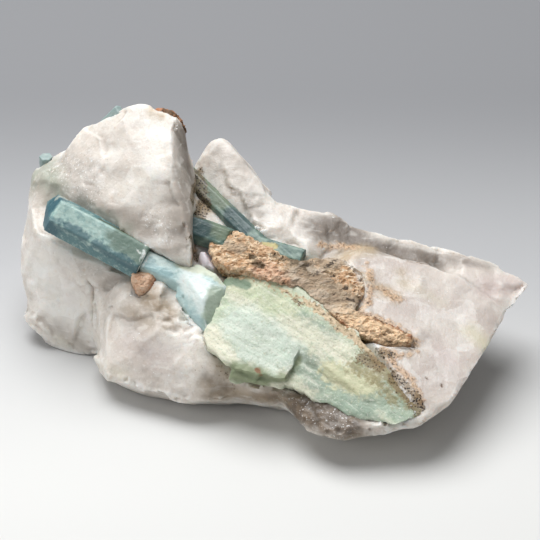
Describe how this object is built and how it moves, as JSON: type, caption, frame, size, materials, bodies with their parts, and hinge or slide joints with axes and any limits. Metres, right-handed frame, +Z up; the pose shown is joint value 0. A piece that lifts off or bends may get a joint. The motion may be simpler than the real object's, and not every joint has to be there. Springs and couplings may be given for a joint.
{
  "type": "aquamarine crystal specimen",
  "caption": "Aquamarine crystals and pale beryl grown in a broken block of white quartz with orange feldspar; it rests on its flat underside.",
  "frame": {"origin": "centre of the bounding box at the level of the surface that the specimen rests on", "axes": "+X along the specimen from the tall peak to the thin edge, +Y to its back, +Z up"},
  "size_m": [0.16, 0.1054, 0.0693],
  "materials": {
    "white_quartz": "satin",
    "teal_beryl": "glossy",
    "pale_beryl": "glossy",
    "mint_beryl": "satin",
    "deep_beryl": "glossy",
    "orange_feldspar": "matt"
  },
  "bodies": {
    "root": {"quartz_matrix": "white_quartz", "aquamarine_prism": "teal_beryl", "aquamarine_shaft": "pale_beryl", "beryl_slab": "mint_beryl", "saddle_crystal_long": "deep_beryl", "saddle_crystal_short": "deep_beryl", "left_tip_crystal": "teal_beryl", "peak_sliver_crystal": "teal_beryl", "feldspar_vein": "orange_feldspar", "feldspar_wedge": "orange_feldspar", "feldspar_cap": "orange_feldspar"}
  },
  "joints": []
}
